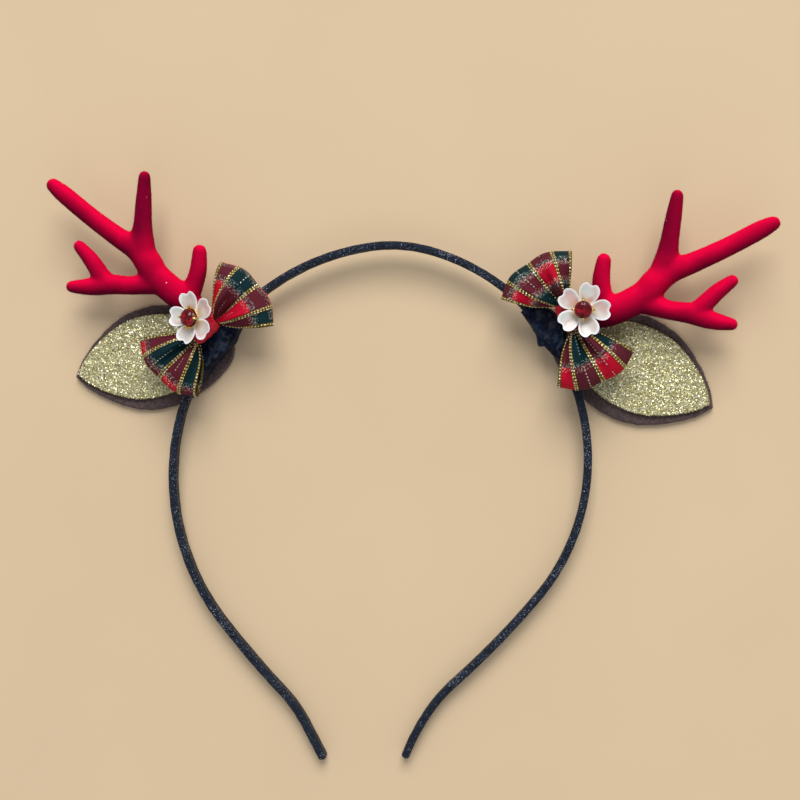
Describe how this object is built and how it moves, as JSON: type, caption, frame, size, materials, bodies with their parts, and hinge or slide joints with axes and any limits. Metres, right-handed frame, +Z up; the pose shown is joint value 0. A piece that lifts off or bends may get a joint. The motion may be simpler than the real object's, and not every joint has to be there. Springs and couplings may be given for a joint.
{
  "type": "christmas headband",
  "caption": "Christmas headband: thin black band with red flocked antlers, brown felt ears lined in gold glitter, tartan bows and pearly flowers with red stones, lying on its back.",
  "frame": {"origin": "middle of the underside of the whole headband, on the surface that it lies on", "axes": "+X to the right as seen from the front, +Y from the band's feet to its crown, +Z up out of the front, so the headband lies on its back"},
  "size_m": [0.204, 0.1672, 0.023],
  "materials": {
    "wrap": "black wrapped band, slight gloss",
    "sleeve": "black cloth with glossy glue",
    "felt": "dark brown felt",
    "glitter": "pale gold glitter sheet",
    "flock": "bright red flock",
    "tartan": "red and green tartan ribbon",
    "satin": "red satin",
    "pearl": "pearly white",
    "gold": "bright gold",
    "stone": "deep red cut glass"
  },
  "bodies": {
    "root": {"band": "wrap", "left_sleeve": "sleeve", "left_ear": "felt", "left_ear_lining": "glitter", "left_antler": "flock", "left_bow": "tartan", "left_knot": "satin", "left_petals": "pearl", "left_setting": "gold", "left_stone": "stone", "right_sleeve": "sleeve", "right_ear": "felt", "right_ear_lining": "glitter", "right_antler": "flock", "right_bow": "tartan", "right_knot": "satin", "right_petals": "pearl", "right_setting": "gold", "right_stone": "stone"}
  },
  "joints": []
}
